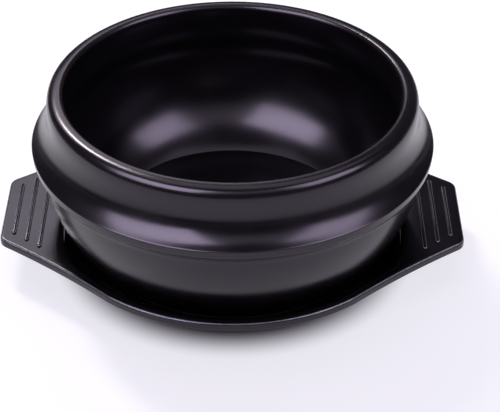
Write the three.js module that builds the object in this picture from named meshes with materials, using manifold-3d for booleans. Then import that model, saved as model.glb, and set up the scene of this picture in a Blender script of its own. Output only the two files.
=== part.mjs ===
// Black glazed earthenware stew pot standing in its moulded serving tray.
// Millimetres, +Z up. The origin is the centre of the tray's foot on the table, and the two
// handles of the tray lie along X.

import * as THREE from 'three';
import { mergeVertices } from 'three/addons/utils/BufferGeometryUtils.js';
import Module from 'manifold-3d';

// Pot: overall sizes.
const POT_HEIGHT = 82;
const RIM_DIAMETER = 168.4;
const BELLY_DIAMETER = 185;
const FOOT_DIAMETER = 132;

// Pot: lip and neck, with heights measured down from the rim.
const LIP_WIDTH = 7.8;
const LIP_CREST_INSET = 3.9;
const LIP_EDGE_DROP = 2.6;
const LIP_EDGE_ROUND = 0.6;
const LIP_FACE_SLOPE = 0.95; // how far the face above the edge runs in for each millimetre it rises
const LIP_UNDER_SLOPE = 0.9; // how far the underside runs in for each millimetre it falls
const LIP_INNER_DROP = 5;
const NECK_DEPTH = 2.2;
const NECK_DROP = 7.4;

// Pot: shoulder, belly, groove and bead, with heights measured down from the rim.
const NECK_SWEEP = 0.5; // shares of the shoulder's height that shape its two curves
const BELLY_SWEEP = 0.32;
const BELLY_DROP = 25.2;
const BELLY_BAND_DROP = 27;
const GROOVE_DEPTH = 0.9;
const GROOVE_DROP = 27.9;
const BEAD_INSET = 0.3;
const BEAD_DROP = 29;
const BEAD_BOTTOM_DROP = 30.6;
const LOWER_WALL_INSET = 4;
const LOWER_WALL_DROP = 34.2;

// Pot: lower wall, floor and foot ring, with heights measured up from the foot.
const LOWER_WALL_TAPER = 3;
const LOWER_TURN_HEIGHT = 20;
const WALL_THICKNESS = 7.5;
const FLOOR_THICKNESS = 7;
const FOOT_EDGE_RADIUS = 1.4;
const FOOT_RING_WIDTH = 8;
const FOOT_RECESS = 2.5;
const FOOT_RECESS_DRAFT = 1.5;

// Tray: section.
const TRAY_HEIGHT = 20;
const SEAT_HEIGHT = 6;
const SEAT_STEP = 1.5;
const SHELL = 3;
const RIM_LAND = 2.5;
const RIM_EDGE_RADIUS = 1.2;
const SKIRT_HEIGHT = 3.8;
const SKIRT_THICKNESS = 2.2;
const TRAY_FOOT_INSET = 2;
const TRAY_FOOT_WIDTH = 4;
const DISH_WALL_EASE = 0.4; // share of the wall's run over which it eases in at each end

// Tray: handles, seen from above.
const HANDLE_REACH = 20.8;
const HANDLE_END_WIDTH = 48;
const HANDLE_CORNER_RADIUS = 6.5;
const HANDLE_EDGE_HOLLOW = 1.2;
const HANDLE_FOLD_SHARPNESS = 20; // exponent: higher turns the dish wall into the handle more tightly

// Tray: raised ribs across each handle.
const RIB_COUNT = 3;
const RIB_PITCH = 6.3;
const RIB_WIDTH = 2.2;
const RIB_HEIGHT = 1.1;
const RIB_OUTER_MARGIN = 6.3;
const RIB_INNER_MARGIN = 7.4;
const RIB_SIDE_MARGIN = 8.5;

// Clearances between the pot and the tray.
const SEAT_GAP = 0.3;
const SEAT_CLEARANCE = 1;
const DISH_CLEARANCE = 7.8;

// Facets.
const POT_FACETS = 60;
const BEND_STEP = THREE.MathUtils.degToRad(20);
const OUTLINE_STEP = 6;
const DISH_WALL_STEPS = 5;
const EDGE_STEPS = 3;
const RIB_CAP_STEPS = 3;
const RIB_FACETS = 10;
const WELD = 1e-4;

const wasm = await Module();
wasm.setup();

/** The angle that a curve turns through, summed over short steps. */
function turning(curve) {
  const samples = 24;
  let total = 0;
  let before = curve.getTangent(0);
  for (let i = 1; i <= samples; i++) {
    const after = curve.getTangent(i / samples);
    total += Math.abs(before.angleTo(after));
    before = after;
  }
  return total;
}

/** Points along a path: a straight run keeps its two ends, and a bend gets one every BEND_STEP. */
function facetByBend(path) {
  const points = [path.curves[0].getPoint(0)];
  for (const curve of path.curves) {
    const steps = Math.max(1, Math.ceil(turning(curve) / BEND_STEP));
    points.push(...curve.getPoints(steps).slice(1));
  }
  return points;
}

/** Points along a path, no further apart than a step. */
function facetByLength(path, step) {
  const points = [path.curves[0].getPoint(0)];
  for (const curve of path.curves) {
    const steps = Math.max(2, Math.ceil(curve.getLength() / step));
    points.push(...curve.getPoints(steps).slice(1));
  }
  return points;
}

/** Turns a closed geometry into a solid that can be joined. */
function toSolid(geometry) {
  const bare = geometry.clone();
  bare.deleteAttribute('normal');
  bare.deleteAttribute('uv');
  const merged = mergeVertices(bare, WELD);
  const vertProperties = new Float32Array(merged.attributes.position.array);
  const triVerts = new Uint32Array(merged.index.array);
  return new wasm.Manifold(new wasm.Mesh({ numProp: 3, vertProperties, triVerts }));
}

/** Turns a solid back into a geometry with flat facets. */
function toGeometry(solid) {
  const { vertProperties, triVerts } = solid.getMesh();
  const geometry = new THREE.BufferGeometry();
  geometry.setAttribute('position', new THREE.BufferAttribute(vertProperties, 3));
  geometry.setIndex(new THREE.BufferAttribute(triVerts, 1));
  geometry.computeVertexNormals();
  return geometry;
}

// The pot's section, as radius across and height above its foot.
const bellyRadius = BELLY_DIAMETER / 2;
const lowerWallRadius = bellyRadius - LOWER_WALL_INSET;
const footRadius = FOOT_DIAMETER / 2;

/** The outer face of the pot below its bead, inset by a wall and raised to a floor for the inner face. */
function lowerWall(inset, start) {
  const turn = new THREE.Vector2(lowerWallRadius - LOWER_WALL_TAPER - inset, LOWER_TURN_HEIGHT);
  const end = new THREE.Vector2(lowerWallRadius - inset, POT_HEIGHT - LOWER_WALL_DROP);
  return new THREE.QuadraticBezierCurve(start, turn, end);
}

const outerLowerWall = lowerWall(0, new THREE.Vector2(footRadius + FOOT_EDGE_RADIUS / 2, FOOT_EDGE_RADIUS));

/** The radius of the pot's lower wall at a height above its foot. */
function lowerWallRadiusAt(height) {
  const halvings = 40;
  let low = 0;
  let high = 1;
  for (let i = 0; i < halvings; i++) {
    const middle = (low + high) / 2;
    if (outerLowerWall.getPoint(middle).y < height) low = middle;
    else high = middle;
  }
  return outerLowerWall.getPoint(low).x;
}

/** From the middle of the recessed base out to the foot ring and up to the lower wall. */
function drawFoot(path) {
  const ringInner = footRadius - FOOT_RING_WIDTH;
  path.moveTo(0, FOOT_RECESS);
  path.lineTo(ringInner - FOOT_RECESS_DRAFT, FOOT_RECESS);
  path.lineTo(ringInner, 0);
  path.lineTo(footRadius - FOOT_EDGE_RADIUS, 0);
  path.quadraticCurveTo(footRadius, 0, outerLowerWall.v0.x, outerLowerWall.v0.y);
}

/** The outside from the lower wall over the bead, the groove, the belly and the neck to the lip. */
function drawOutside(path) {
  const rimRadius = RIM_DIAMETER / 2;
  const neckRadius = rimRadius - NECK_DEPTH;
  const grooveRadius = bellyRadius - GROOVE_DEPTH;
  const beadRadius = bellyRadius - BEAD_INSET;
  const beadBottom = POT_HEIGHT - BEAD_BOTTOM_DROP;
  const bead = POT_HEIGHT - BEAD_DROP;
  const groove = POT_HEIGHT - GROOVE_DROP;
  const band = POT_HEIGHT - BELLY_BAND_DROP;
  const belly = POT_HEIGHT - BELLY_DROP;
  const neck = POT_HEIGHT - NECK_DROP;
  const edge = POT_HEIGHT - LIP_EDGE_DROP;
  const shoulder = neck - belly;
  const { v1, v2 } = outerLowerWall;
  path.quadraticCurveTo(v1.x, v1.y, v2.x, v2.y);
  path.quadraticCurveTo(lowerWallRadius, beadBottom, (lowerWallRadius + beadRadius) / 2, beadBottom);
  path.quadraticCurveTo(beadRadius, beadBottom, beadRadius, bead);
  path.quadraticCurveTo(beadRadius, (bead + groove) / 2, grooveRadius, groove);
  path.quadraticCurveTo(bellyRadius, (groove + band) / 2, bellyRadius, band);
  path.lineTo(bellyRadius, belly);
  path.bezierCurveTo(
    bellyRadius, belly + shoulder * BELLY_SWEEP,
    neckRadius, neck - shoulder * NECK_SWEEP,
    neckRadius, neck,
  );

  // The lip's face and its underside meet at a corner just outside the rim, which is rounded off.
  const corner = rimRadius + LIP_EDGE_ROUND * (LIP_FACE_SLOPE + LIP_UNDER_SLOPE) / 4;
  path.quadraticCurveTo(
    neckRadius, edge - (corner - neckRadius) / LIP_UNDER_SLOPE,
    corner - LIP_UNDER_SLOPE * LIP_EDGE_ROUND, edge - LIP_EDGE_ROUND,
  );
  path.quadraticCurveTo(corner, edge, corner - LIP_FACE_SLOPE * LIP_EDGE_ROUND, edge + LIP_EDGE_ROUND);
  path.quadraticCurveTo(
    corner - LIP_FACE_SLOPE * LIP_EDGE_DROP, POT_HEIGHT,
    rimRadius - LIP_CREST_INSET, POT_HEIGHT,
  );
}

/** The inside from the lip down the wall and round to the middle of the floor. */
function drawInside(path) {
  const throatRadius = RIM_DIAMETER / 2 - LIP_WIDTH;
  const neck = POT_HEIGHT - NECK_DROP;
  const floor = FOOT_RECESS + FLOOR_THICKNESS;
  const inner = lowerWall(WALL_THICKNESS, new THREE.Vector2(footRadius - WALL_THICKNESS, floor));
  const { v0, v1, v2 } = inner;
  const rise = (neck - v2.y) / 2;
  const slope = (v2.x - v1.x) / (v2.y - v1.y);
  path.quadraticCurveTo(throatRadius, POT_HEIGHT, throatRadius, POT_HEIGHT - LIP_INNER_DROP);
  path.lineTo(throatRadius, neck);
  path.bezierCurveTo(throatRadius, neck - rise, v2.x + slope * rise, v2.y + rise, v2.x, v2.y);
  path.quadraticCurveTo(v1.x, v1.y, v0.x, v0.y);
  path.lineTo(0, floor);
}

/** The pot: one turned body, from the middle of its base over the lip to the middle of its floor. */
function makePot() {
  const section = new THREE.Path();
  drawFoot(section);
  drawOutside(section);
  drawInside(section);
  const geometry = new THREE.LatheGeometry(facetByBend(section), POT_FACETS);
  geometry.rotateX(Math.PI / 2);
  const glaze = new THREE.MeshStandardMaterial({ color: 0x2a272b, roughness: 0.4, metalness: 0 });
  const pot = new THREE.Mesh(geometry, glaze);
  pot.name = 'pot';
  pot.position.z = SEAT_HEIGHT + SEAT_GAP;
  return pot;
}

// The tray is sized from the pot: its seat takes the foot, and its mouth clears the lower wall.
const seatRadius = footRadius + SEAT_CLEARANCE;
const stepRadius = seatRadius + SEAT_STEP / 2;
const mouthRadius = lowerWallRadiusAt(TRAY_HEIGHT - SEAT_HEIGHT - SEAT_GAP) + DISH_CLEARANCE;
const dishRadius = mouthRadius + RIM_LAND;
const halfLength = dishRadius + HANDLE_REACH;
const handleFlat = RIB_OUTER_MARGIN + (RIB_COUNT - 1) * RIB_PITCH + RIB_INNER_MARGIN;
const foldX = halfLength - handleFlat;

// The slanted edge of a handle runs from the sharp corner of its end to touch the round dish.
const cornerPoint = new THREE.Vector2(halfLength, HANDLE_END_WIDTH / 2);
const touchAngle = cornerPoint.angle() + Math.acos(dishRadius / cornerPoint.length());
const edgeNormal = new THREE.Vector2(Math.cos(touchAngle), Math.sin(touchAngle));
const touchPoint = edgeNormal.clone().multiplyScalar(dishRadius);

/** A quarter of the tray's outline, from the middle of a handle's end round to the dish's side. */
function quarterOutline() {
  const edge = touchPoint.clone().sub(cornerPoint).normalize();
  const cornerAngle = Math.PI - touchAngle;
  const cornerCut = HANDLE_CORNER_RADIUS / Math.tan(cornerAngle / 2);
  const edgeStart = cornerPoint.clone().addScaledVector(edge, cornerCut);
  const hollow = edgeStart.clone().add(touchPoint).multiplyScalar(0.5);
  hollow.addScaledVector(edgeNormal, -2 * HANDLE_EDGE_HOLLOW);
  const outline = new THREE.Path();
  outline.moveTo(halfLength, 0);
  outline.lineTo(halfLength, cornerPoint.y - cornerCut);
  outline.absarc(
    halfLength - HANDLE_CORNER_RADIUS, cornerPoint.y - cornerCut, HANDLE_CORNER_RADIUS, 0, touchAngle,
  );
  outline.quadraticCurveTo(hollow.x, hollow.y, touchPoint.x, touchPoint.y);
  outline.absarc(0, 0, dishRadius, touchAngle, Math.PI / 2);
  return outline;
}

/** The whole outline, anticlockwise from +X: the quarter and its mirror images. */
function fullOutline() {
  const quarter = facetByLength(quarterOutline(), OUTLINE_STEP);
  const half = [...quarter];
  for (const point of quarter.slice(0, -1).reverse()) {
    half.push(new THREE.Vector2(-point.x, point.y));
  }
  const whole = [...half];
  for (const point of half.slice(1, -1).reverse()) {
    whole.push(new THREE.Vector2(point.x, -point.y));
  }
  return whole;
}

/** Outward unit normals of a closed outline, one at each point. */
function outlineNormals(outline) {
  return outline.map((_, i) => {
    const before = outline.at(i - 1);
    const after = outline[(i + 1) % outline.length];
    return new THREE.Vector2(after.y - before.y, before.x - after.x).normalize();
  });
}

/** Where the dish wall meets the flat top: a land's width in from the rim, or at the handle's fold. */
function mouthPoint(edge, normal) {
  const land = edge.clone().addScaledVector(normal, -RIM_LAND);
  const past = (Math.abs(land.x) / foldX) ** HANDLE_FOLD_SHARPNESS;
  return land.multiplyScalar((1 + past) ** (-1 / HANDLE_FOLD_SHARPNESS));
}

/** One section of the tray, from the middle of the seat over the rim to the middle of the base. */
function traySection(edge, normal) {
  const mouth = mouthPoint(edge, normal);
  const outward = mouth.clone().normalize();
  const seatBase = SEAT_HEIGHT - SHELL;
  const skirtBottom = TRAY_HEIGHT - SKIRT_HEIGHT;
  const section = [];
  const addRadial = (radius, z) => section.push(new THREE.Vector3(outward.x * radius, outward.y * radius, z));
  const addInset = (inset, z) => {
    section.push(new THREE.Vector3(edge.x - normal.x * inset, edge.y - normal.y * inset, z));
  };

  const ease = DISH_WALL_EASE * (mouth.length() - stepRadius);
  const wall = new THREE.CubicBezierCurve(
    new THREE.Vector2(stepRadius, SEAT_HEIGHT + SEAT_STEP),
    new THREE.Vector2(stepRadius + ease, SEAT_HEIGHT + SEAT_STEP),
    new THREE.Vector2(mouth.length() - ease, TRAY_HEIGHT),
    new THREE.Vector2(mouth.length(), TRAY_HEIGHT),
  );
  const wallPoints = wall.getPoints(DISH_WALL_STEPS);

  addRadial(seatRadius, SEAT_HEIGHT);
  for (const point of wallPoints) addRadial(point.x, point.y);
  for (let i = 0; i <= EDGE_STEPS; i++) {
    const turn = (Math.PI / 2) * (i / EDGE_STEPS);
    addInset(RIM_EDGE_RADIUS * (1 - Math.sin(turn)), TRAY_HEIGHT - RIM_EDGE_RADIUS * (1 - Math.cos(turn)));
  }
  addInset(0, skirtBottom);
  addInset(SKIRT_THICKNESS, skirtBottom);
  addInset(SKIRT_THICKNESS, TRAY_HEIGHT - SHELL);
  for (let i = DISH_WALL_STEPS; i >= 0; i--) {
    const along = wall.getTangent(i / DISH_WALL_STEPS);
    addRadial(wallPoints[i].x + SHELL * along.y, wallPoints[i].y - SHELL * along.x);
  }
  addRadial(seatRadius, seatBase);
  addRadial(seatRadius - TRAY_FOOT_INSET, seatBase);
  addRadial(seatRadius - TRAY_FOOT_INSET, 0);
  addRadial(seatRadius - TRAY_FOOT_INSET - TRAY_FOOT_WIDTH, 0);
  addRadial(seatRadius - TRAY_FOOT_INSET - TRAY_FOOT_WIDTH, seatBase);
  return section;
}

/** Skins a closed fan of sections, with a point on the axis at each end. */
function loft(sections, startZ, endZ) {
  const rings = sections[0].length;
  const positions = sections.flat().flatMap((point) => point.toArray());
  const start = positions.push(0, 0, startZ) / 3 - 1;
  const end = positions.push(0, 0, endZ) / 3 - 1;
  const index = [];
  sections.forEach((_, i) => {
    const here = i * rings;
    const next = ((i + 1) % sections.length) * rings;
    index.push(start, here, next);
    for (let ring = 0; ring < rings - 1; ring++) {
      index.push(here + ring, here + ring + 1, next + ring);
      index.push(next + ring, here + ring + 1, next + ring + 1);
    }
    index.push(end, next + rings - 1, here + rings - 1);
  });
  const geometry = new THREE.BufferGeometry();
  geometry.setAttribute('position', new THREE.Float32BufferAttribute(positions, 3));
  geometry.setIndex(index);
  return geometry;
}

/** One rib: a round bar with round ends, half sunk in the handle's top. */
function makeRib(x) {
  const slope = (touchPoint.y - cornerPoint.y) / (cornerPoint.x - touchPoint.x);
  const halfSpan = cornerPoint.y + (halfLength - Math.abs(x)) * slope - RIB_SIDE_MARGIN;
  const radius = RIB_WIDTH / 2;
  const rib = new THREE.CapsuleGeometry(radius, 2 * (halfSpan - radius), RIB_CAP_STEPS, RIB_FACETS);
  rib.translate(x, 0, TRAY_HEIGHT + RIB_HEIGHT - radius);
  return toSolid(rib);
}

/** The tray: dish, rim and handles in one skin, with the ribs joined on. */
function makeTray() {
  const outline = fullOutline();
  const normals = outlineNormals(outline);
  const sections = outline.map((edge, i) => traySection(edge, normals[i]));
  let solid = toSolid(loft(sections, SEAT_HEIGHT, SEAT_HEIGHT - SHELL));
  for (const side of [-1, 1]) {
    for (let i = 0; i < RIB_COUNT; i++) {
      solid = solid.add(makeRib(side * (halfLength - RIB_OUTER_MARGIN - i * RIB_PITCH)));
    }
  }
  const plastic = new THREE.MeshStandardMaterial({ color: 0x151316, roughness: 0.32, metalness: 0 });
  const tray = new THREE.Mesh(toGeometry(solid), plastic);
  tray.name = 'tray';
  return tray;
}

const dishware = new THREE.Group();
dishware.add(makeTray(), makePot());

export default dishware;
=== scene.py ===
"""Black glazed stew pot standing in its moulded serving tray.

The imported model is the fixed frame: metres, +Z up, the origin at the centre of the tray's foot on
the table, and the two handles along X. The pot and the tray are made here as finer meshes in the
same places, with their finishes, a plain studio and the camera.
"""

import logging
import math
from dataclasses import dataclass, field
from enum import Enum

import bpy
import numpy as np
from mathutils import Matrix, Vector


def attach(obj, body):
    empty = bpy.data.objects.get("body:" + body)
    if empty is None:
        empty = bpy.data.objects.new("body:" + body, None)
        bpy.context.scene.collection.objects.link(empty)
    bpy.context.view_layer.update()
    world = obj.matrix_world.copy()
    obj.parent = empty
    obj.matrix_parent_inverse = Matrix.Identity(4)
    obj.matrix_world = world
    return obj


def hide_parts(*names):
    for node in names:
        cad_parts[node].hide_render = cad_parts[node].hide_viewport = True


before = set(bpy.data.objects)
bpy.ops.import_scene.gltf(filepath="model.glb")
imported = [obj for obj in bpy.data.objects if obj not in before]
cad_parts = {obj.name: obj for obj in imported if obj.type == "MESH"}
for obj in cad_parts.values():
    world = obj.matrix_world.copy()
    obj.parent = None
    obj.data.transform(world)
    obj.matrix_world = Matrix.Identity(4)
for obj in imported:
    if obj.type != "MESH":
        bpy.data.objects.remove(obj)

LOG = logging.getLogger("stew_pot")

MM = 0.001
IMAGE_WIDTH = 500

# Most values of a noise texture lie between these, so a finish takes its full swing over them.
NOISE_LOW = 0.3
NOISE_HIGH = 0.7

Point = tuple[float, float]
Range = tuple[float, float]
Colour = tuple[float, float, float, float]


class Body(Enum):
    """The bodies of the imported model. Each has one CAD node and one material slot of its own name."""

    POT = "pot"
    TRAY = "tray"


def linear(hex_colour: str) -> Colour:
    """Turns an sRGB colour into linear light.

    Args:
        hex_colour: The colour as six hex digits after a hash sign.

    Returns:
        Red, green, blue and a full alpha.
    """
    shares = [int(hex_colour[i:i + 2], 16) / 255 for i in (1, 3, 5)]
    light = [s / 12.92 if s <= 0.04045 else ((s + 0.055) / 1.055) ** 2.4 for s in shares]
    return (*light, 1.0)


def grain(size: float) -> float:
    """The texture scale that gives features of a size in millimetres."""
    return 1 / (size * MM)


def add_node(tree: bpy.types.NodeTree, kind: str, inputs: dict | None = None, **settings) -> bpy.types.Node:
    """Adds a node, sets its properties and fills its inputs.

    Args:
        tree: The tree that takes the node.
        kind: The node's type name.
        inputs: A value, a socket to link from, or a list of such sockets, by the input's name or number.
        **settings: Properties of the node.

    Returns:
        The new node.
    """
    node = tree.nodes.new(kind)
    for name, value in settings.items():
        setattr(node, name, value)
    for key, value in (inputs or {}).items():
        if isinstance(value, (bpy.types.NodeSocket, list)):
            for source in value if isinstance(value, list) else [value]:
                tree.links.new(source, node.inputs[key])
        else:
            node.inputs[key].default_value = value
    return node


def empty_tree(owner: bpy.types.Material | bpy.types.World) -> bpy.types.NodeTree:
    """Switches on the nodes of a material or a world and clears them.

    Args:
        owner: The material or the world.

    Returns:
        Its empty node tree.
    """
    owner.use_nodes = True
    owner.node_tree.nodes.clear()
    return owner.node_tree


def new_surface(
        name: str, ior: float, sheen: str) -> tuple[bpy.types.Material, bpy.types.NodeTree, bpy.types.Node]:
    """Makes a material that holds one surface shader.

    Args:
        name: The material's name.
        ior: The index of refraction of the surface.
        sheen: The tint of what the surface mirrors.

    Returns:
        The material, its node tree and the surface shader.
    """
    material = bpy.data.materials.new(name)
    tree = empty_tree(material)
    shader = add_node(tree, "ShaderNodeBsdfPrincipled", {"IOR": ior, "Specular Tint": linear(sheen)})
    add_node(tree, "ShaderNodeOutputMaterial", {"Surface": shader.outputs["BSDF"]})
    return material, tree, shader


def dress_surface(tree: bpy.types.NodeTree, shader: bpy.types.Node, colour: bpy.types.NodeSocket,
                  roughness: bpy.types.NodeSocket, relief: bpy.types.NodeSocket) -> None:
    """Links a surface shader to what varies over the surface.

    Args:
        tree: The material's tree.
        shader: The surface shader.
        colour: The socket that gives the colour.
        roughness: The socket that gives the roughness.
        relief: The socket that gives the height of the fine relief, in metres.
    """
    bump = add_node(tree, "ShaderNodeBump", {"Height": relief, "Strength": 1.0, "Distance": 1.0}).outputs[0]
    for socket, source in (("Base Color", colour), ("Roughness", roughness), ("Normal", bump)):
        tree.links.new(source, shader.inputs[socket])


def new_shape_tree(name: str, sizes: dict[str, str]) -> tuple[bpy.types.NodeTree, bpy.types.Node]:
    """Starts a geometry tree with named inputs.

    Args:
        name: The tree's name.
        sizes: The socket type of each input after the geometry, by its name.

    Returns:
        The tree and its input node.
    """
    tree = bpy.data.node_groups.new(name, "GeometryNodeTree")
    tree.interface.new_socket("Geometry", in_out="INPUT", socket_type="NodeSocketGeometry")
    for label, kind in sizes.items():
        tree.interface.new_socket(label, in_out="INPUT", socket_type=kind)
    tree.interface.new_socket("Geometry", in_out="OUTPUT", socket_type="NodeSocketGeometry")
    return tree, add_node(tree, "NodeGroupInput")


def finish_shape_tree(tree: bpy.types.NodeTree, geometry: bpy.types.NodeSocket,
                      material: bpy.types.NodeSocket) -> None:
    """Ends a geometry tree: plain smooth faces in the piece's own material.

    Args:
        tree: The tree to end.
        geometry: The socket that gives the finished shape.
        material: The socket that gives the material.
    """
    smooth = add_node(tree, "GeometryNodeSetShadeSmooth", {"Geometry": geometry})
    plain = add_node(tree, "GeometryNodeRealizeInstances", {"Geometry": smooth.outputs[0]})
    dressed = add_node(tree, "GeometryNodeSetMaterial", {"Geometry": plain.outputs[0], "Material": material})
    add_node(tree, "NodeGroupOutput", {"Geometry": dressed.outputs[0]})


def shape_by_tree(piece: bpy.types.Object, tree: bpy.types.NodeTree, values: dict) -> None:
    """Runs a geometry tree on an object and keeps its result as the object's plain mesh.

    Args:
        piece: The object, whose mesh is what the tree starts from.
        tree: The geometry tree.
        values: The tree's inputs by name.
    """
    modifier = piece.modifiers.new(tree.name, "NODES")
    modifier.node_group = tree
    for item in tree.interface.items_tree:
        if item.in_out == "INPUT" and item.name in values:
            modifier[item.identifier] = values[item.name]
    shaped = piece.evaluated_get(bpy.context.evaluated_depsgraph_get())
    mesh = bpy.data.meshes.new_from_object(shaped)
    piece.modifiers.remove(modifier)
    start = piece.data
    piece.data = mesh
    mesh.name = piece.name
    bpy.data.meshes.remove(start)


def new_piece(name: str, vertices: np.ndarray, edges: list, faces: list) -> bpy.types.Object:
    """Makes a mesh object at the origin.

    Args:
        name: The object's name.
        vertices: The points in millimetres, one row each.
        edges: Pairs of point numbers, for a mesh with no faces.
        faces: Loops of point numbers.

    Returns:
        The new object, in the scene.
    """
    mesh = bpy.data.meshes.new(name)
    mesh.from_pydata((vertices * MM).tolist(), edges, faces)
    piece = bpy.data.objects.new(name, mesh)
    bpy.context.scene.collection.objects.link(piece)
    return piece


def stand_in_place(piece: bpy.types.Object, body: Body) -> None:
    """Puts a finished piece in the place of its CAD node.

    Args:
        piece: The finished piece.
        body: The body whose node it replaces and with which it moves.
    """
    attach(piece, body.value)
    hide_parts(body.value)
    LOG.info("%s: %d faces, replaces %s", piece.name, len(piece.data.polygons), body.value)


class SectionLine:
    """A line in a turned body's section, as radius across and height up, in millimetres."""

    # The spacing of the points, and how many spreads to each side the softening takes in.
    STEP = 0.2
    SPREADS = 4

    def __init__(self, start: Point) -> None:
        """Starts the line at a point."""
        self.points = [np.array(start, float)]

    def curve(self, *controls: Point) -> None:
        """Adds a straight line, or a curve bent by control points.

        Args:
            *controls: The curve's control points, of which the last is its end.
        """
        hull = np.array([self.points[-1], *controls], float)
        length = np.linalg.norm(np.diff(hull, axis=0), axis=1).sum()
        share = np.linspace(0, 1, max(3, math.ceil(length / self.STEP)))[1:, None]
        layers = [np.broadcast_to(point, (len(share), 2)) for point in hull]
        while len(layers) > 1:
            layers = [a * (1 - share) + b * share for a, b in zip(layers, layers[1:])]
        self.points.extend(layers[0])

    def lean(self, leave: float, end: Point, arrive: float) -> None:
        """Adds a rising curve between two leans, each the radius lost for each millimetre of height.

        Args:
            leave: The lean at the line's last point.
            end: The curve's end.
            arrive: The lean there.
        """
        (radius, height), (end_radius, end_height) = self.points[-1], end
        meet = (end_radius - radius + arrive * end_height - leave * height) / (arrive - leave)
        self.curve((radius - leave * (meet - height), meet), end)

    def softened(self, spread: float) -> np.ndarray:
        """The line with its corners softened, as a coat of glaze does.

        Args:
            spread: How far along the line a corner is spread, in millimetres.

        Returns:
            Evenly spaced points, from axis to axis.
        """
        raw = np.array(self.points)
        run = np.r_[0, np.cumsum(np.linalg.norm(np.diff(raw, axis=0), axis=1))]
        even = np.linspace(0, run[-1], math.ceil(run[-1] / self.STEP))
        line = np.stack([np.interp(even, run, raw[:, i]) for i in (0, 1)], 1)
        reach = math.ceil(self.SPREADS * spread / self.STEP)
        weight = np.exp(-0.5 * (np.arange(-reach, reach + 1) * self.STEP / spread) ** 2)
        mirror = np.array([-1, 1])
        padded = np.concatenate([line[reach:0:-1] * mirror, line, line[-2:-reach - 2:-1] * mirror])
        soft = [np.convolve(padded[:, i], weight / weight.sum(), "valid") for i in (0, 1)]
        soft[0][[0, -1]] = 0
        return np.stack(soft, 1)


def bend_of(line: np.ndarray) -> np.ndarray:
    """How tightly a section line bends.

    Args:
        line: Evenly spaced points.

    Returns:
        The bend at each point, per millimetre, positive where the body bends outwards.
    """
    along = np.gradient(line, axis=0)
    heading = np.unwrap(np.arctan2(along[:, 1], along[:, 0]))
    return np.gradient(heading) / np.linalg.norm(along, axis=1)


def thin_out(line: np.ndarray, bend: np.ndarray, longest: float, turn: float) -> np.ndarray:
    """Picks the points of a line that its shape needs.

    Args:
        line: Evenly spaced points.
        bend: How tightly the line bends at each.
        longest: The longest step along a straight run, in millimetres.
        turn: The most that the line may turn in one step, in radians.

    Returns:
        The numbers of the points to keep, both ends included.
    """
    slack = 1e-9
    step = np.linalg.norm(np.diff(line, axis=0), axis=1)
    need = np.r_[0, np.cumsum(step * (1 / longest + np.abs(bend[1:]) / turn))]
    wanted = np.linspace(0, need[-1], math.ceil(need[-1]) + 1)
    return np.unique(np.searchsorted(need, wanted - slack).clip(0, len(line) - 1))


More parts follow.
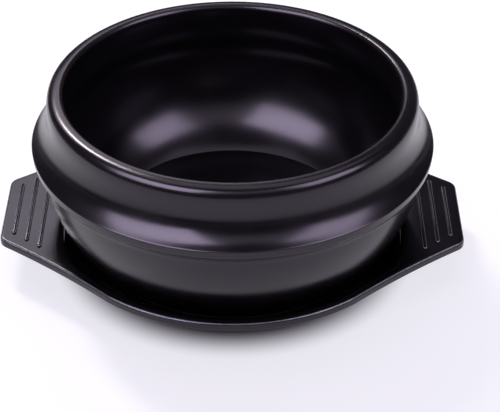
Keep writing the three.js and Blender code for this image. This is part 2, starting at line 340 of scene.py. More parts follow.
@dataclass(frozen=True)
class SatinGlaze:
    """Iron-black stoneware glaze, dipped and fired to a satin, over a dark clay body.

    To the eye: nearly black with a violet-brown cast, a soft sheen that spreads lamps into bands, a
    faint orange-peel, slightly browner where the coat thins over an edge, and dry clay at the foot.
    Sizes and heights are in millimetres, and a bend is per millimetre.
    """

    ior: float = 1.5
    sheen: str = "#fbeeff"
    deep: str = "#0e0c0f"
    clouded: str = "#151216"
    broken: str = "#211b1b"
    speck: str = "#1f1918"
    clay: str = "#4a403a"
    clay_grog: str = "#6a5b50"
    cloud_size: float = 32
    cloud_octaves: float = 4.0
    peel_size: float = 1.1
    peel_octaves: float = 2.0
    peel_height: float = 0.0035
    wave_size: float = 9
    wave_octaves: float = 1.0
    wave_height: float = 0.008
    clay_height: float = 0.05
    speck_spacing: float = 2.6
    speck_fade: Range = (0.2, 0.08)
    speck_share: float = 0.6
    thin_bend: Range = (0.1, 0.6)
    thin_share: float = 0.7
    roughness: Range = (0.19, 0.27)
    clay_roughness: float = 0.9
    glaze_line: float = 8.6
    glaze_line_waver: float = 1.2
    glaze_line_edge: float = 0.3

    def material(self) -> bpy.types.Material:
        """Builds the glaze with its bare foot.

        Returns:
            The material, which reads the mesh's own bend attribute.
        """
        material, tree, shader = new_surface("satin_black_stoneware_glaze", self.ior, self.sheen)
        place = add_node(tree, "ShaderNodeTexCoord").outputs["Object"]
        bend = add_node(tree, "ShaderNodeAttribute", attribute_name=Pot.BEND).outputs["Fac"]
        layers = ((self.cloud_size, self.cloud_octaves), (self.peel_size, self.peel_octaves),
                  (self.wave_size, self.wave_octaves))
        cloud, peel, wave = (
            add_node(tree, "ShaderNodeTexNoise",
                     {"Vector": place, "Scale": grain(size), "Detail": octaves}).outputs["Fac"]
            for size, octaves in layers)

        # Glaze draws back from outward bends and leaves them a little browner.
        thin = add_node(tree, "ShaderNodeMapRange",
                        {"Value": bend, "From Min": self.thin_bend[0], "From Max": self.thin_bend[1],
                         "To Max": self.thin_share}, interpolation_type="SMOOTHSTEP").outputs[0]

        # Specks of iron lie in the middle of scattered cells.
        cell = add_node(tree, "ShaderNodeTexVoronoi", {"Vector": place, "Scale": grain(self.speck_spacing)})
        speck = add_node(tree, "ShaderNodeMapRange",
                         {"Value": cell.outputs["Distance"], "From Min": self.speck_fade[0],
                          "From Max": self.speck_fade[1], "To Max": self.speck_share}).outputs[0]
        glazed = linear(self.deep)
        for share, tint in ((cloud, self.clouded), (speck, self.speck), (thin, self.broken)):
            glazed = add_node(tree, "ShaderNodeMix", {0: share, 6: glazed, 7: linear(tint)},
                              data_type="RGBA").outputs[2]

        # The foot is wiped before firing, so the glaze stops at a wavering line just above it.
        height = add_node(tree, "ShaderNodeSeparateXYZ", {0: place}).outputs["Z"]
        waver = add_node(tree, "ShaderNodeMath", {0: wave, 1: self.glaze_line_waver * MM, 2: height},
                         operation="MULTIPLY_ADD").outputs[0]
        line = (self.glaze_line + self.glaze_line_waver / 2) * MM
        bare = add_node(tree, "ShaderNodeMapRange",
                        {"Value": waver, "From Min": line, "From Max": line - self.glaze_line_edge * MM},
                        interpolation_type="SMOOTHSTEP").outputs[0]
        clay = add_node(tree, "ShaderNodeMix", {0: peel, 6: linear(self.clay), 7: linear(self.clay_grog)},
                        data_type="RGBA").outputs[2]
        colour = add_node(tree, "ShaderNodeMix", {0: bare, 6: glazed, 7: clay}, data_type="RGBA").outputs[2]

        satin = add_node(tree, "ShaderNodeMapRange",
                         {"Value": cloud, "From Min": NOISE_LOW, "From Max": NOISE_HIGH,
                          "To Min": self.roughness[0], "To Max": self.roughness[1]}).outputs[0]
        rough = add_node(tree, "ShaderNodeMix", {0: bare, 2: satin, 3: self.clay_roughness}).outputs[0]
        fine = add_node(tree, "ShaderNodeMix",
                        {0: bare, 2: self.peel_height * MM, 3: self.clay_height * MM}).outputs[0]
        rise = add_node(tree, "ShaderNodeMath", {0: peel, 1: fine}, operation="MULTIPLY").outputs[0]
        relief = add_node(tree, "ShaderNodeMath", {0: wave, 1: self.wave_height * MM, 2: rise},
                          operation="MULTIPLY_ADD").outputs[0]
        dress_surface(tree, shader, colour, rough, relief)
        return material


@dataclass(frozen=True)
class MouldedMelamine:
    """Black melamine, pressed in a satin steel mould.

    To the eye: deep black with a clear, slightly spread reflection, a fine even grain from the mould,
    faint dull rubbing where the pot's foot turns on the seat, and a painted highlight, a thin light grey
    line along the edge of the rim and the ribs. Sizes and heights are in millimetres.
    """

    ior: float = 1.5
    sheen: str = "#f6f0ff"
    black: str = "#080709"
    dusted: str = "#0c0b0d"
    rubbed: str = "#201e21"
    # A painted highlight: a light grey line along the rim's edge and the flanks of the ribs.
    edge_highlight_paint: str = "#b4b1ba"
    cloud_size: float = 22
    cloud_octaves: float = 5.0
    # The mould's own grain is about 0.1 mm, too fine to show in a picture, so it is drawn coarser.
    grain_size: float = 0.9
    grain_octaves: float = 2.0
    grain_height: float = 0.0022
    scuff_size: float = 3.5
    scuff_octaves: float = 6.0
    scuff_raggedness: float = 0.7
    scuff_fade: Range = (0.48, 0.66)
    rub_share: float = 0.5
    rub_depth: float = 0.2
    roughness: Range = (0.17, 0.25)
    rubbed_roughness: float = 0.45
    # Where the painted highlight lies, and how patchily.
    edge_highlight_depth: float = 1.2
    edge_highlight_lean: float = 0.68
    edge_highlight_lean_reach: float = 0.16
    edge_highlight_fade: Range = (0.3, 0.6)
    edge_highlight_least: float = 0.4

    def material(self, height: float, seat_height: float, rub_inner: float,
                 rub_outer: float) -> bpy.types.Material:
        """Builds the moulding's finish.

        Args:
            height: The height of the rim, in millimetres.
            seat_height: The height of the seat.
            rub_inner: The inner radius of the ring that the pot's foot rubs.
            rub_outer: The outer radius of that ring.

        Returns:
            The material.
        """
        material, tree, shader = new_surface("satin_moulded_melamine", self.ior, self.sheen)
        place = add_node(tree, "ShaderNodeTexCoord").outputs["Object"]
        layers = ((self.cloud_size, self.cloud_octaves), (self.grain_size, self.grain_octaves))
        cloud, fine = (
            add_node(tree, "ShaderNodeTexNoise",
                     {"Vector": place, "Scale": grain(size), "Detail": octaves}).outputs["Fac"]
            for size, octaves in layers)
        patch = add_node(tree, "ShaderNodeTexNoise",
                         {"Vector": place, "Scale": grain(self.scuff_size), "Detail": self.scuff_octaves,
                          "Roughness": self.scuff_raggedness}).outputs["Fac"]
        scuff = add_node(tree, "ShaderNodeMapRange",
                         {"Value": patch, "From Min": self.scuff_fade[0], "From Max": self.scuff_fade[1],
                          "To Max": self.rub_share}).outputs[0]
        highlight_patches = add_node(tree, "ShaderNodeMapRange",
                          {"Value": patch, "From Min": self.edge_highlight_fade[0], "From Max": self.edge_highlight_fade[1],
                           "To Min": self.edge_highlight_least}).outputs[0]

        # The foot rubs a ring, near the seat's height and between two radii. A painted highlight, a thin
        # light grey line, lies on the leaning edge of the rim and the flanks of the ribs.
        axes = add_node(tree, "ShaderNodeSeparateXYZ", {0: place}).outputs
        flat = add_node(tree, "ShaderNodeCombineXYZ", {0: axes["X"], 1: axes["Y"]}).outputs[0]
        radius = add_node(tree, "ShaderNodeVectorMath", {0: flat}, operation="LENGTH").outputs["Value"]
        facing = add_node(tree, "ShaderNodeNewGeometry").outputs["Normal"]
        upward = add_node(tree, "ShaderNodeSeparateXYZ", {0: facing}).outputs["Z"]
        limits = ((radius, (rub_inner + rub_outer) / 2 * MM, (rub_outer - rub_inner) / 2 * MM),
                  (axes["Z"], seat_height * MM, self.rub_depth * MM),
                  (upward, self.edge_highlight_lean, self.edge_highlight_lean_reach),
                  (axes["Z"], height * MM, self.edge_highlight_depth * MM))
        on_ring, on_seat, leaning, at_top = (
            add_node(tree, "ShaderNodeMath", dict(enumerate(limit)), operation="COMPARE").outputs[0]
            for limit in limits)
        masks = []
        for first, second, patches in ((on_ring, on_seat, scuff), (leaning, at_top, highlight_patches)):
            both = add_node(tree, "ShaderNodeMath", {0: first, 1: second}, operation="MULTIPLY").outputs[0]
            mask = add_node(tree, "ShaderNodeMath", {0: both, 1: patches}, operation="MULTIPLY").outputs[0]
            masks.append(mask)
        rub, painted_edge_highlight = masks

        # The last layer is the painted highlight on the rim's edge and the ribs.
        colour = linear(self.black)
        for share, tint in ((cloud, self.dusted), (rub, self.rubbed), (painted_edge_highlight, self.edge_highlight_paint)):
            colour = add_node(tree, "ShaderNodeMix", {0: share, 6: colour, 7: linear(tint)},
                              data_type="RGBA").outputs[2]
        satin = add_node(tree, "ShaderNodeMapRange",
                         {"Value": cloud, "From Min": NOISE_LOW, "From Max": NOISE_HIGH,
                          "To Min": self.roughness[0], "To Max": self.roughness[1]}).outputs[0]
        rough = add_node(tree, "ShaderNodeMix", {0: rub, 2: satin, 3: self.rubbed_roughness}).outputs[0]
        relief = add_node(tree, "ShaderNodeMath", {0: fine, 1: self.grain_height * MM},
                          operation="MULTIPLY").outputs[0]
        dress_surface(tree, shader, colour, rough, relief)
        return material


@dataclass
class Pot:
    """The turned clay pot. Sizes in millimetres; a drop is measured down from the rim."""

    BEND = "bend"
    SEAM_GAP = 0.001

    height: float = 82
    rim_radius: float = 84.7
    bead_radius: float = 92.4
    lower_wall_radius: float = 88.5
    foot_radius: float = 66
    lip_width: float = 8.3
    lip_crest_inset: float = 5.9
    lip_roll_inset: float = 0.5
    lip_roll_drop: float = 3
    lip_inner_drop: float = 4
    neck_drop: float = 9.4
    flare_slope: float = 1.35
    bead_top_drop: float = 26
    bead_round: float = 0.25
    bead_bottom_drop: float = 29.4
    bead_swell: float = 0.3
    lower_wall_drop: float = 34.2
    lower_wall_taper: float = 3
    lower_turn_height: float = 20
    wall: float = 7.5
    floor: float = 7
    foot_edge_radius: float = 1.4
    foot_ring_width: float = 8
    foot_recess: float = 2.5
    foot_recess_draft: float = 1.5
    stands_at: float = 6.3
    glaze_softening: float = 0.15
    longest_step: float = 4
    turn_step: float = math.radians(7)
    segments: int = 192
    finish: SatinGlaze = field(default_factory=SatinGlaze)

    @property
    def lower_wall(self) -> tuple[Point, Point, Point]:
        """The outer face below the bead, as the three control points of its curve."""
        return ((self.foot_radius + self.foot_edge_radius / 2, self.foot_edge_radius),
                (self.lower_wall_radius - self.lower_wall_taper, self.lower_turn_height),
                (self.lower_wall_radius, self.height - self.lower_wall_drop))

    def lower_wall_radius_at(self, height: float) -> float:
        """The radius of the outer face below the bead.

        Args:
            height: Where to take it, above the foot.

        Returns:
            The radius there.
        """
        line = SectionLine(self.lower_wall[0])
        line.curve(*self.lower_wall[1:])
        points = np.array(line.points)
        return float(np.interp(height, points[:, 1], points[:, 0]))

    def draw_foot(self, line: SectionLine) -> None:
        """Draws from the middle of the recessed base out to the foot ring.

        Args:
            line: The section line to carry on.
        """
        ring_inner = self.foot_radius - self.foot_ring_width
        line.curve((ring_inner - self.foot_recess_draft, self.foot_recess))
        line.curve((ring_inner, 0))
        line.curve((self.foot_radius - self.foot_edge_radius, 0))
        line.curve((self.foot_radius, 0), self.lower_wall[0])

    def draw_outside(self, line: SectionLine) -> None:
        """Draws from the foot over the bead and up the hollow flare and the neck to the crest of the lip.

        Args:
            line: The section line to carry on.
        """
        drops = (self.bead_bottom_drop, self.bead_top_drop, self.neck_drop, self.lip_roll_drop)
        bead_bottom, bead_top, neck, roll = (self.height - drop for drop in drops)
        rim, bead = self.rim_radius, self.bead_radius
        line.curve(*self.lower_wall[1:])
        line.curve((bead - self.bead_swell, bead_bottom))
        line.curve((bead, bead_top - self.bead_round))
        line.curve((bead, bead_top), (bead - self.flare_slope * self.bead_round, bead_top + self.bead_round))
        line.lean(self.flare_slope, (rim, neck), 0)
        line.curve((rim, roll), (rim - self.lip_roll_inset, self.height),
                   (rim - self.lip_crest_inset, self.height))

    def draw_inside(self, line: SectionLine) -> None:
        """Draws from the crest of the lip down the wall to the middle of the floor.

        Args:
            line: The section line to carry on.
        """
        throat = self.rim_radius - self.lip_width
        neck = self.height - self.neck_drop
        floor = self.foot_recess + self.floor
        inner_wall = [(radius - self.wall, height) for radius, height in self.lower_wall[1:]]
        (turn_radius, turn), (top_radius, top) = inner_wall
        rise = (neck - top) / 2
        lean = (top_radius - turn_radius) / (top - turn)
        line.curve((throat, self.height), (throat, self.height - self.lip_inner_drop))
        line.curve((throat, neck))
        line.curve((throat, neck - rise), (top_radius + lean * rise, top + rise), (top_radius, top))
        line.curve((turn_radius, turn), (self.foot_radius - self.wall, floor))
        line.curve((0, floor))

    def section(self) -> tuple[np.ndarray, np.ndarray]:
        """The whole section line.

        Returns:
            Points as radius and height above the table, and how tightly the line bends at each.
        """
        line = SectionLine((0, self.foot_recess))
        self.draw_foot(line)
        self.draw_outside(line)
        self.draw_inside(line)
        soft = line.softened(self.glaze_softening)
        bend = bend_of(soft)
        kept = thin_out(soft, bend, self.longest_step, self.turn_step)
        return soft[kept] + (0, self.stands_at), bend[kept]

    def turning_tree(self) -> bpy.types.NodeTree:
        """The tree that turns a section line about the Z axis into a closed body.

        Returns:
            A tree with the inputs Segments and Material, for a mesh that is the line of points.
        """
        sizes = {"Segments": "NodeSocketInt", "Material": "NodeSocketMaterial"}
        tree, given = new_shape_tree("turned_body", sizes)
        line, segments = given.outputs["Geometry"], given.outputs["Segments"]
        rows = add_node(tree, "GeometryNodeAttributeDomainSize", {"Geometry": line}).outputs["Point Count"]
        columns = add_node(tree, "ShaderNodeMath", {0: segments, 1: 1.0}).outputs[0]
        grid = add_node(tree, "GeometryNodeMeshGrid",
                        {"Vertices X": columns, "Vertices Y": rows}).outputs["Mesh"]
        index = add_node(tree, "GeometryNodeInputIndex").outputs["Index"]
        row = add_node(tree, "ShaderNodeMath", {0: index, 1: rows}, operation="MODULO").outputs[0]
        share = add_node(tree, "ShaderNodeMath", {0: index, 1: rows}, operation="DIVIDE").outputs[0]
        column = add_node(tree, "ShaderNodeMath", {0: share}, operation="FLOOR").outputs[0]
        part = add_node(tree, "ShaderNodeMath", {0: column, 1: segments}, operation="DIVIDE").outputs[0]
        angle = add_node(tree, "ShaderNodeMath", {0: part, 1: math.tau}, operation="MULTIPLY").outputs[0]
        position = add_node(tree, "GeometryNodeInputPosition").outputs["Position"]
        bend = add_node(tree, "GeometryNodeInputNamedAttribute", {"Name": self.BEND},
                        data_type="FLOAT").outputs[0]
        point = add_node(tree, "GeometryNodeSampleIndex", {"Geometry": line, "Value": position, "Index": row},
                         data_type="FLOAT_VECTOR").outputs["Value"]
        tightness = add_node(tree, "GeometryNodeSampleIndex", {"Geometry": line, "Value": bend, "Index": row},
                             data_type="FLOAT").outputs["Value"]
        marked = add_node(tree, "GeometryNodeStoreNamedAttribute",
                          {"Geometry": grid, "Name": self.BEND, "Value": tightness},
                          data_type="FLOAT").outputs[0]
        turned = add_node(tree, "ShaderNodeVectorRotate", {"Vector": point, "Angle": angle},
                          rotation_type="Z_AXIS").outputs[0]
        placed = add_node(tree, "GeometryNodeSetPosition",
                          {"Geometry": marked, "Position": turned}).outputs[0]
        closed = add_node(tree, "GeometryNodeMergeByDistance",
                          {"Geometry": placed, "Distance": self.SEAM_GAP * MM}).outputs[0]
        finish_shape_tree(tree, closed, given.outputs["Material"])
        return tree

    def build(self) -> bpy.types.Object:
        """Turns, dresses and places the pot.

        Returns:
            The finished pot.
        """
        section, bend = self.section()
        points = np.stack([section[:, 0], np.zeros(len(section)), section[:, 1]], 1)
        pot = new_piece("stew_pot", points, [(i, i + 1) for i in range(len(points) - 1)], [])
        marks = pot.data.attributes.new(self.BEND, "FLOAT", "POINT")
        marks.data.foreach_set("value", bend.astype(np.float32))
        inputs = {"Segments": self.segments, "Material": self.finish.material()}
        shape_by_tree(pot, self.turning_tree(), inputs)
        stand_in_place(pot, Body.POT)
        return pot


@dataclass
class Tray:
    """The moulded tray, sized from the pot that stands in it. Sizes in millimetres.

    A hold is a ring of points that keeps a face flat beside a rounded edge, in that edge's own radii.
    """

    pot: Pot
    height: float = 20
    seat_height: float = 6
    seat_step: float = 1.5
    shell: float = 3
    rim_land: float = 2.5
    rim_edge_radius: float = 1.2
    skirt_height: float = 3.8
    skirt_thickness: float = 2.2
    foot_inset: float = 2
    foot_width: float = 4
    dish_wall_ease: float = 0.4
    handle_reach: float = 20.8
    handle_end_width: float = 48
    handle_corner_radius: float = 6.5
    handle_edge_hollow: float = 1.2
    handle_fold_sharpness: float = 20
    rib_count: int = 3
    rib_pitch: float = 6.3
    rib_width: float = 2.2
    rib_height: float = 1.1
    rib_outer_margin: float = 6.3
    rib_inner_margin: float = 7.4
    rib_side_margin: float = 8.5
    rib_segments: int = 32
    rib_rings: int = 17
    seat_clearance: float = 1
    dish_clearance: float = 7.8
    edge_softening: float = 0.45
    edge_hold: float = 1.5
    rim_hold: float = 2
    outline_step: float = 1.4
    wall_steps: int = 22
    edge_steps: int = 6
    corner_steps: int = 4
    crease: float = math.radians(40)
    finish: MouldedMelamine = field(default_factory=MouldedMelamine)

    def __post_init__(self) -> None:
        """Works out what follows from the pot and the handles."""
        self.seat_radius = self.pot.foot_radius + self.seat_clearance
        self.step_radius = self.seat_radius + self.seat_step / 2
        rim_on_pot = self.height - self.pot.stands_at
        self.dish_radius = self.pot.lower_wall_radius_at(rim_on_pot) + self.dish_clearance + self.rim_land
        self.half_length = self.dish_radius + self.handle_reach
        self.corner = np.array([self.half_length, self.handle_end_width / 2])
        away = math.acos(self.dish_radius / np.linalg.norm(self.corner))
        self.touch_angle = math.atan2(self.corner[1], self.corner[0]) + away
        self.edge_normal = np.array([math.cos(self.touch_angle), math.sin(self.touch_angle)])
        self.touch = self.edge_normal * self.dish_radius

    @property
    def fold_x(self) -> float:
        """How far out the dish wall turns into the flat of a handle."""
        ribs = (self.rib_count - 1) * self.rib_pitch
        return self.half_length - self.rib_outer_margin - ribs - self.rib_inner_margin

    def quarter_outline(self) -> np.ndarray:
        """A quarter of the outline.

        Returns:
            Its points, from the middle of a handle's end round to the dish's side.
        """
        edge = self.touch - self.corner
        edge /= np.linalg.norm(edge)
        cut = self.handle_corner_radius / math.tan((math.pi - self.touch_angle) / 2)
        flat_end = self.corner[1] - cut
        edge_start = self.corner + edge * cut
        hollow = (edge_start + self.touch) / 2 - 2 * self.handle_edge_hollow * self.edge_normal
        centre = np.array([self.half_length - self.handle_corner_radius, flat_end])

        def shares(length: float) -> np.ndarray:
            """Even shares of a run, without its end, in a column."""
            return np.linspace(0, 1, math.ceil(length / self.outline_step), endpoint=False)[:, None]

        flat = shares(flat_end) * (0, flat_end) + (self.half_length, 0)
        turn = shares(self.handle_corner_radius * self.touch_angle) * self.touch_angle
        corner = centre + self.handle_corner_radius * np.hstack([np.cos(turn), np.sin(turn)])
        run = shares(np.linalg.norm(self.touch - edge_start))
        slant = (1 - run) ** 2 * edge_start + 2 * run * (1 - run) * hollow + run ** 2 * self.touch
        sweep = math.pi / 2 - self.touch_angle
        round_angle = self.touch_angle + np.vstack([shares(self.dish_radius * sweep), [[1]]]) * sweep
        dish = self.dish_radius * np.hstack([np.cos(round_angle), np.sin(round_angle)])
        return np.vstack([flat, corner, slant, dish])

    def outline(self) -> tuple[np.ndarray, np.ndarray]:
        """The whole outline, anticlockwise from +X.

        Returns:
            Its points, and the outward direction at each.
        """
        quarter = self.quarter_outline()
        half = np.vstack([quarter, quarter[-2::-1] * (-1, 1)])
        whole = np.vstack([half, half[-2:0:-1] * (1, -1)])
        along = np.roll(whole, -1, 0) - np.roll(whole, 1, 0)
        normal = np.stack([along[:, 1], -along[:, 0]], 1)
        return whole, normal / np.linalg.norm(normal, axis=1, keepdims=True)

    def rings(self) -> list[np.ndarray]:
        """Rings of points round the tray, from the seat over the rim to the underside.

        Returns:
            The rings in order, each with one point for each point of the outline.
        """
        edge, normal = self.outline()
        land = edge - normal * self.rim_land
        past = (np.abs(land[:, :1]) / self.fold_x) ** self.handle_fold_sharpness
        mouth = land * (1 + past) ** (-1 / self.handle_fold_sharpness)
        mouth_radius = np.linalg.norm(mouth, axis=1, keepdims=True)
        outward = mouth / mouth_radius
        wall_bottom = self.seat_height + self.seat_step
        seat_base = self.seat_height - self.shell
        skirt_bottom = self.height - self.skirt_height
        ease = self.dish_wall_ease * (mouth_radius - self.step_radius)
        foot_outer = self.seat_radius - self.foot_inset
        foot_inner = foot_outer - self.foot_width

        def radial(radius: np.ndarray | float, z: np.ndarray | float) -> np.ndarray:
            """A ring at a distance from the axis."""
            flat = outward * radius
            return np.hstack([flat, np.broadcast_to(z, (len(flat), 1))])

        def inset(depth: float, z: float) -> np.ndarray:
            """A ring at a depth in from the outline."""
            return np.hstack([edge - normal * depth, np.full((len(edge), 1), z)])

        def wall_at(share: float, depth: float) -> np.ndarray:
            """A ring on the dish wall.

            Args:
                share: Its share of the way up the wall.
                depth: Its depth under the wall's upper face.

            Returns:
                The ring's points.
            """
            low, high = self.step_radius, mouth_radius
            back = 1 - share
            radius = back ** 3 * low + 3 * share * back ** 2 * (low + ease) \
                + 3 * share ** 2 * back * (high - ease) + share ** 3 * high
            climb = self.height - wall_bottom
            z = wall_bottom + climb * share ** 2 * (3 - 2 * share)
            out = 3 * back ** 2 * ease + 6 * share * back * (high - low - 2 * ease) + 3 * share ** 2 * ease
            up = 6 * climb * share * back
            length = np.sqrt(out ** 2 + up ** 2)
            return radial(radius + depth * up / length, z - depth * out / length)

        steps = [i / self.wall_steps for i in range(self.wall_steps + 1)]
        turns = [math.pi / 2 * i / self.edge_steps for i in range(self.edge_steps + 1)]
        edge_arc = [inset(self.rim_edge_radius * (1 - math.sin(turn)),
                          self.height - self.rim_edge_radius * (1 - math.cos(turn))) for turn in turns]
        soft = self.edge_softening
        drawn: list[tuple[np.ndarray, float]] = [
            (radial(foot_inner, self.seat_height), 0),
            (radial(self.seat_radius, self.seat_height), soft),
            (wall_at(0, 0), soft),
            *((wall_at(share, 0), 0) for share in steps[1:]),
            (inset(self.rim_hold * self.rim_edge_radius, self.height), 0),
            *((ring, 0) for ring in edge_arc),
            (inset(0, self.height - self.edge_hold * self.rim_edge_radius), 0),
            (inset(0, skirt_bottom), soft),
            (inset(self.skirt_thickness, skirt_bottom), soft),
            (inset(self.skirt_thickness, self.height - self.shell), soft),
            *((wall_at(share, self.shell), 0) for share in reversed(steps)),
            (radial(self.seat_radius, seat_base), 0),
            (radial(foot_outer, seat_base), soft),
            (radial(foot_outer, 0), soft),
            (radial(foot_inner, 0), soft),
            (radial(foot_inner, seat_base), soft),
            (radial(foot_inner / 2, seat_base), 0),
        ]
        return self.soften_corners(drawn)

    def soften_corners(self, drawn: list[tuple[np.ndarray, float]]) -> list[np.ndarray]:
        """Rounds the corners of the section.

        Args:
            drawn: Rings, each with the size of its rounding, or 0 where it isn't a corner.

        Returns:
            The rings with each corner as a short curve, held flat on both sides.
        """
        rings: list[np.ndarray] = []
        for i, (ring, size) in enumerate(drawn):
            if not size:
                rings.append(ring)
                continue
            back, on = (drawn[i + step][0] - ring for step in (-1, 1))
            back /= np.linalg.norm(back, axis=1, keepdims=True)
            on /= np.linalg.norm(on, axis=1, keepdims=True)
            rings.append(ring + self.edge_hold * size * back)
            for step in range(self.corner_steps + 1):
                share = step / self.corner_steps
                rings.append(ring + size * ((1 - share) ** 2 * back + share ** 2 * on))
            rings.append(ring + self.edge_hold * size * on)
        return rings

    def skin(self) -> bpy.types.Object:
        """Skins the rings, with a point on the axis at each end.

        Returns:
            The tray without its ribs.
        """
        rings = self.rings()
        around = len(rings[0])
        poles = np.array([[0, 0, self.seat_height], [0, 0, self.seat_height - self.shell]])
        first, last = len(rings) * around, len(rings) * around + 1
        following = [(i + 1) % around for i in range(around)]
        faces: list[tuple[int, ...]] = [(first, i, following[i]) for i in range(around)]
        for start in range(0, (len(rings) - 1) * around, around):
            faces += [(start + i, start + around + i, start + around + following[i], start + following[i])
                      for i in range(around)]
        base = (len(rings) - 1) * around
        faces += [(last, base + following[i], base + i) for i in range(around)]
        return new_piece("serving_tray", np.vstack([*rings, poles]), [], faces)

    def rib_tree(self) -> bpy.types.NodeTree:
        """The tree that joins a row of round-ended ribs to each handle.

        Returns:
            A tree whose inputs are the sizes of the rows, in metres, and the material.
        """
        sizes = {"Count": "NodeSocketInt", "First": "NodeSocketFloat", "Pitch": "NodeSocketFloat",
                 "Width": "NodeSocketFloat", "Level": "NodeSocketFloat", "Half Span": "NodeSocketFloat",
                 "Span Gain": "NodeSocketFloat", "Material": "NodeSocketMaterial"}
        tree, given = new_shape_tree("handle_ribs", sizes)
        size = given.outputs
        start = add_node(tree, "ShaderNodeCombineXYZ", {"X": size["First"], "Z": size["Level"]}).outputs[0]
        inward = add_node(tree, "ShaderNodeMath", {0: size["Pitch"], 1: -1.0},
                          operation="MULTIPLY").outputs[0]
        offset = add_node(tree, "ShaderNodeCombineXYZ", {"X": inward}).outputs[0]
        row = add_node(tree, "GeometryNodeMeshLine", {"Count": size["Count"], "Start Location": start,
                                                      "Offset": offset}, mode="OFFSET").outputs[0]
        index = add_node(tree, "GeometryNodeInputIndex").outputs[0]
        radius = add_node(tree, "ShaderNodeMath", {0: size["Width"], 1: 0.5}, operation="MULTIPLY").outputs[0]
        span = add_node(tree, "ShaderNodeMath", {0: index, 1: size["Span Gain"], 2: size["Half Span"]},
                        operation="MULTIPLY_ADD").outputs[0]
        stretch = add_node(tree, "ShaderNodeMath", {0: span, 1: radius}, operation="SUBTRACT").outputs[0]
        marked = add_node(tree, "GeometryNodeStoreNamedAttribute",
                          {"Geometry": row, "Name": "stretch", "Value": stretch},
                          data_type="FLOAT").outputs[0]

        # A ball with no ring at its equator, pulled apart along Y, is a round-ended bar. It is turned by
        # half a segment, so that a flat facet lies on top.
        ball = add_node(tree, "GeometryNodeMeshUVSphere",
                        {"Segments": self.rib_segments, "Rings": self.rib_rings, "Radius": radius}).outputs[0]
        lying = add_node(tree, "GeometryNodeTransform",
                         {"Geometry": ball,
                          "Rotation": (math.pi / 2, math.pi / self.rib_segments, 0)}).outputs[0]
        placed = add_node(tree, "GeometryNodeInstanceOnPoints",
                          {"Points": marked, "Instance": lying}).outputs[0]
        balls = add_node(tree, "GeometryNodeRealizeInstances", {"Geometry": placed}).outputs[0]
        position = add_node(tree, "GeometryNodeInputPosition").outputs[0]
        across = add_node(tree, "ShaderNodeSeparateXYZ", {0: position}).outputs["Y"]
        side = add_node(tree, "ShaderNodeMath", {0: across}, operation="SIGN").outputs[0]
        stored = add_node(tree, "GeometryNodeInputNamedAttribute", {"Name": "stretch"},
                          data_type="FLOAT").outputs[0]
        pull = add_node(tree, "ShaderNodeMath", {0: side, 1: stored}, operation="MULTIPLY").outputs[0]
        shift = add_node(tree, "ShaderNodeCombineXYZ", {"Y": pull}).outputs[0]
        bars = add_node(tree, "GeometryNodeSetPosition", {"Geometry": balls, "Offset": shift}).outputs[0]
        plain = add_node(tree, "GeometryNodeRemoveAttribute",
                         {"Geometry": bars, "Name": "stretch"}).outputs[0]
        opposite = add_node(tree, "GeometryNodeTransform",
                            {"Geometry": plain, "Rotation": (0, 0, math.pi)}).outputs[0]
        ribs = add_node(tree, "GeometryNodeJoinGeometry", {0: [plain, opposite]}).outputs[0]
        joined = add_node(tree, "GeometryNodeMeshBoolean", {"Mesh 2": [size["Geometry"], ribs]},
                          operation="UNION", solver="EXACT").outputs["Mesh"]
        finish_shape_tree(tree, joined, size["Material"])
        return tree

    def rib_sizes(self) -> dict[str, float | int]:
        """The inputs of the rib tree.

        Returns:
            The sizes of the rows by the inputs' names, in metres.
        """
        gain = (self.touch[1] - self.corner[1]) / (self.corner[0] - self.touch[0])
        outer_span = self.corner[1] + self.rib_outer_margin * gain - self.rib_side_margin
        return {"Count": self.rib_count, "First": (self.half_length - self.rib_outer_margin) * MM,
                "Pitch": self.rib_pitch * MM, "Width": self.rib_width * MM,
                "Level": (self.height + self.rib_height - self.rib_width / 2) * MM,
                "Half Span": outer_span * MM, "Span Gain": self.rib_pitch * gain * MM}

    def build(self) -> bpy.types.Object:
        """Skins, ribs, dresses and places the tray.

        Returns:
            The finished tray.
        """
        tray = self.skin()
        rub_outer = self.pot.foot_radius
        material = self.finish.material(self.height, self.seat_height,
                                        rub_outer - self.pot.foot_ring_width, rub_outer)
        shape_by_tree(tray, self.rib_tree(), {**self.rib_sizes(), "Material": material})
        tray.data.set_sharp_from_angle(angle=self.crease)
        stand_in_place(tray, Body.TRAY)
        return tray


@dataclass(frozen=True)
class Lamp:
    """A soft box. Its azimuth is 0 behind the object and grows to the right, in degrees. Lengths in metres.

    One that is for the sheen only shows in reflections and gives no other light.
    """

    name: str
    azimuth: float
    elevation: float
    distance: float
    width: float
    height: float
    watts: float
    colour: str
    sheen_only: bool = False

    def place(self, aim: Vector) -> bpy.types.Object:
        """Makes the lamp and turns it to a point.

        Args:
            aim: The point that it faces, in metres.

        Returns:
            The lamp.
        """
        data = bpy.data.lights.new(self.name, "AREA")
        data.shape = "RECTANGLE"
        data.size, data.size_y = self.width, self.height
        data.energy = self.watts
        data.color = linear(self.colour)[:3]
        around, up = math.radians(self.azimuth), math.radians(self.elevation)
        towards = Vector((math.sin(around) * math.cos(up), math.cos(around) * math.cos(up), math.sin(up)))
        lamp = bpy.data.objects.new(self.name, data)
        lamp.visible_diffuse = not self.sheen_only
        lamp.location = aim + self.distance * towards
        lamp.rotation_euler = towards.to_track_quat("Z", "Y").to_euler()
        bpy.context.scene.collection.objects.link(lamp)
        return lamp


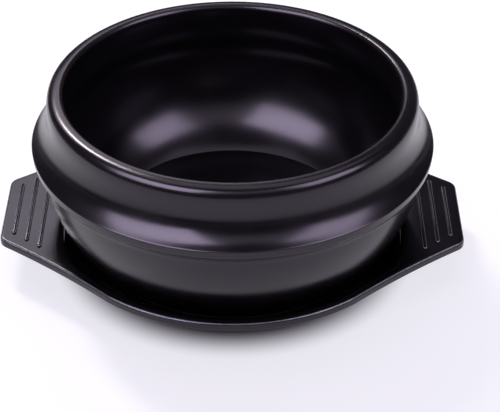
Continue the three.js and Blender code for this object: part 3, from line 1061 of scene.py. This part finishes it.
@dataclass
class Studio:
    """A white paper sweep, lit from behind and above, its room and the camera.

    Two soft boxes in front of the object are for its sheen only. The room is dim with a pale band in
    front, whose ranges are the Z or Y of a direction where it starts and where it is full. A dark card
    outside the picture is all round. The card's sizes and the floor's drop are in millimetres, and other
    lengths in metres.
    """

    camera_place: tuple[float, float, float] = (0.0061, -0.69673, 0.50417)
    camera_yaw: float = 0.003
    camera_pitch: float = 0.605
    camera_roll: float = -0.008
    focal_pixels: float = 1787.2
    sensor: float = 36
    floor_side: float = 12
    floor_drop: float = 0.02
    floor_colour: str = "#acabae"
    glow_colour: str = "#f8f6ff"
    floor_glow: float = 0.79
    # Within this reach round the tray the glow fades out, which paints shade there.
    glow_reach: Range = (0.066, 0.088)
    room: str = "#4e4a54"
    front_band: str = "#e0dae8"
    band_top: Range = (0.84, 0.66)
    band_bottom: Range = (0.3, 0.6)
    band_sides: Range = (0.2, -0.4)
    card_colour: str = "#0c0b0d"
    card_inner: float = 440
    card_outer: float = 2500
    card_lift: float = 0.3
    card_steps: int = 120
    aim: Vector = field(default_factory=lambda: Vector((0, 0, 0.05)))
    lamps: tuple[Lamp, ...] = (
        Lamp("key_window", -32, 45, 2.2, 0.28, 0.7, 24, "#fffaf6"),
        Lamp("back_panel", -23, 36, 2.4, 1.9, 0.7, 8.5, "#f6f3ff"),
        Lamp("overhead", 0, 75, 2.0, 2.0, 1.4, 8.4, "#f6f3ff"),
        Lamp("front_left", -135, 35, 1.6, 1.4, 1.1, 34.0, "#efeaff", sheen_only=True),
        Lamp("front_right", 119, 35, 1.6, 1.0, 1.0, 15.5, "#efeaff", sheen_only=True),
    )

    def make_camera(self) -> None:
        """Makes the scene's camera, at the viewing angle of the photograph."""
        yaw, pitch, roll = self.camera_yaw, self.camera_pitch, self.camera_roll
        forward = Vector((math.sin(yaw) * math.cos(pitch), math.cos(yaw) * math.cos(pitch), -math.sin(pitch)))
        level = forward.cross(Vector((0, 0, 1))).normalized()
        below = forward.cross(level)
        right = math.cos(roll) * level + math.sin(roll) * below
        up = math.sin(roll) * level - math.cos(roll) * below
        data = bpy.data.cameras.new("camera")
        data.sensor_fit = "HORIZONTAL"
        data.sensor_width = self.sensor
        data.lens = self.focal_pixels / IMAGE_WIDTH * self.sensor
        camera = bpy.data.objects.new("camera", data)
        turn = Matrix((right, up, -forward)).transposed().to_4x4()
        camera.matrix_world = Matrix.Translation(self.camera_place) @ turn
        bpy.context.scene.collection.objects.link(camera)
        bpy.context.scene.camera = camera

    def floor_material(self) -> bpy.types.Material:
        """White paper that keeps shadows, and that is clear when seen from below.

        Returns:
            The material.
        """
        material = bpy.data.materials.new("white_paper_sweep")
        tree = empty_tree(material)
        paper = add_node(tree, "ShaderNodeBsdfDiffuse", {"Color": linear(self.floor_colour)}).outputs[0]
        ray = add_node(tree, "ShaderNodeLightPath").outputs
        seen = add_node(tree, "ShaderNodeMath", {0: ray["Is Camera Ray"], 1: ray["Is Glossy Ray"]}).outputs[0]
        seen = add_node(tree, "ShaderNodeMath", {0: seen, 1: ray["Is Transmission Ray"]},
                        use_clamp=True).outputs[0]

        # The paper is whitened only away from the tray, so the floor round the tray is darker:
        # painted shade that deepens the real shadow under it.
        place = add_node(tree, "ShaderNodeTexCoord").outputs["Object"]
        away = add_node(tree, "ShaderNodeVectorMath", {0: place}, operation="LENGTH").outputs["Value"]
        glow_past_painted_shade = add_node(tree, "ShaderNodeMapRange",
                              {"Value": away, "From Min": self.glow_reach[0],
                               "From Max": self.glow_reach[1], "To Max": self.floor_glow},
                              interpolation_type="SMOOTHSTEP").outputs[0]
        strength = add_node(tree, "ShaderNodeMath", {0: seen, 1: glow_past_painted_shade}, operation="MULTIPLY").outputs[0]
        glow = add_node(tree, "ShaderNodeEmission",
                        {"Color": linear(self.glow_colour), "Strength": strength}).outputs[0]
        lit = add_node(tree, "ShaderNodeAddShader", {0: paper, 1: glow}).outputs[0]
        clear = add_node(tree, "ShaderNodeBsdfTransparent").outputs[0]
        below = add_node(tree, "ShaderNodeNewGeometry").outputs["Backfacing"]
        shown = add_node(tree, "ShaderNodeMixShader", {0: below, 1: lit, 2: clear}).outputs[0]
        add_node(tree, "ShaderNodeOutputMaterial", {"Surface": shown})
        return material

    def make_floor(self) -> None:
        """Lays the paper sweep just under the tray's foot."""
        half = self.floor_side / 2 / MM
        low = -self.floor_drop
        corners = np.array([[-half, -half, low], [half, -half, low], [half, half, low], [-half, half, low]])
        floor = new_piece("paper_sweep", corners, [], [(0, 1, 2, 3)])
        floor.data.materials.append(self.floor_material())

    def make_card(self) -> None:
        """Lays a dark card on the floor all round outside the picture, which only reflections show."""
        around = np.linspace(0, math.tau, self.card_steps + 1)
        ring = np.stack([np.cos(around), np.sin(around), np.zeros(len(around))], 1)
        lift = np.array([0, 0, self.card_lift])
        corners = np.vstack([ring * self.card_inner + lift, ring * self.card_outer + lift])
        count = len(around)
        faces = [(i, count + i, count + i + 1, i + 1) for i in range(self.card_steps)]
        card = new_piece("dark_card", corners, [], faces)
        material = bpy.data.materials.new("dark_card")
        tree = empty_tree(material)
        matt = add_node(tree, "ShaderNodeBsdfDiffuse", {"Color": linear(self.card_colour)}).outputs[0]
        add_node(tree, "ShaderNodeOutputMaterial", {"Surface": matt})
        card.data.materials.append(material)
        card.visible_camera = card.visible_diffuse = card.visible_transmission = card.visible_shadow = False

    def make_world(self) -> None:
        """Makes the room: dim, with a pale band in front of the object, about as high as the camera."""
        world = bpy.data.worlds.new("studio_room")
        tree = empty_tree(world)
        direction = add_node(tree, "ShaderNodeTexCoord").outputs["Generated"]
        axes = add_node(tree, "ShaderNodeSeparateXYZ", {0: direction}).outputs
        band: bpy.types.NodeSocket | float = 1.0
        for axis, (start, full) in (("Z", self.band_top), ("Z", self.band_bottom), ("Y", self.band_sides)):
            within = add_node(tree, "ShaderNodeMapRange",
                              {"Value": axes[axis], "From Min": start, "From Max": full},
                              interpolation_type="SMOOTHSTEP").outputs[0]
            band = add_node(tree, "ShaderNodeMath", {0: band, 1: within}, operation="MULTIPLY").outputs[0]
        colour = add_node(tree, "ShaderNodeMix", {0: band, 6: linear(self.room), 7: linear(self.front_band)},
                          data_type="RGBA").outputs[2]
        room = add_node(tree, "ShaderNodeBackground", {"Color": colour, "Strength": 1.0}).outputs[0]
        add_node(tree, "ShaderNodeOutputWorld", {"Surface": room})
        bpy.context.scene.world = world

    def build(self) -> None:
        """Makes the camera, the floor, the dark card, the room and the lamps."""
        bpy.context.scene.view_settings.view_transform = "Standard"
        self.make_camera()
        self.make_floor()
        self.make_card()
        self.make_world()
        for lamp in self.lamps:
            lamp.place(self.aim)
            LOG.info("%s: %.1f W at %.0f, %.0f degrees", lamp.name, lamp.watts, lamp.azimuth, lamp.elevation)


def main() -> None:
    """Builds the studio, the pot and the tray."""
    logging.basicConfig(level=logging.INFO, format="%(name)s: %(message)s")
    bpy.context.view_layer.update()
    Studio().build()
    pot = Pot()
    pot.build()
    Tray(pot).build()


if __name__ == "__main__":
    main()
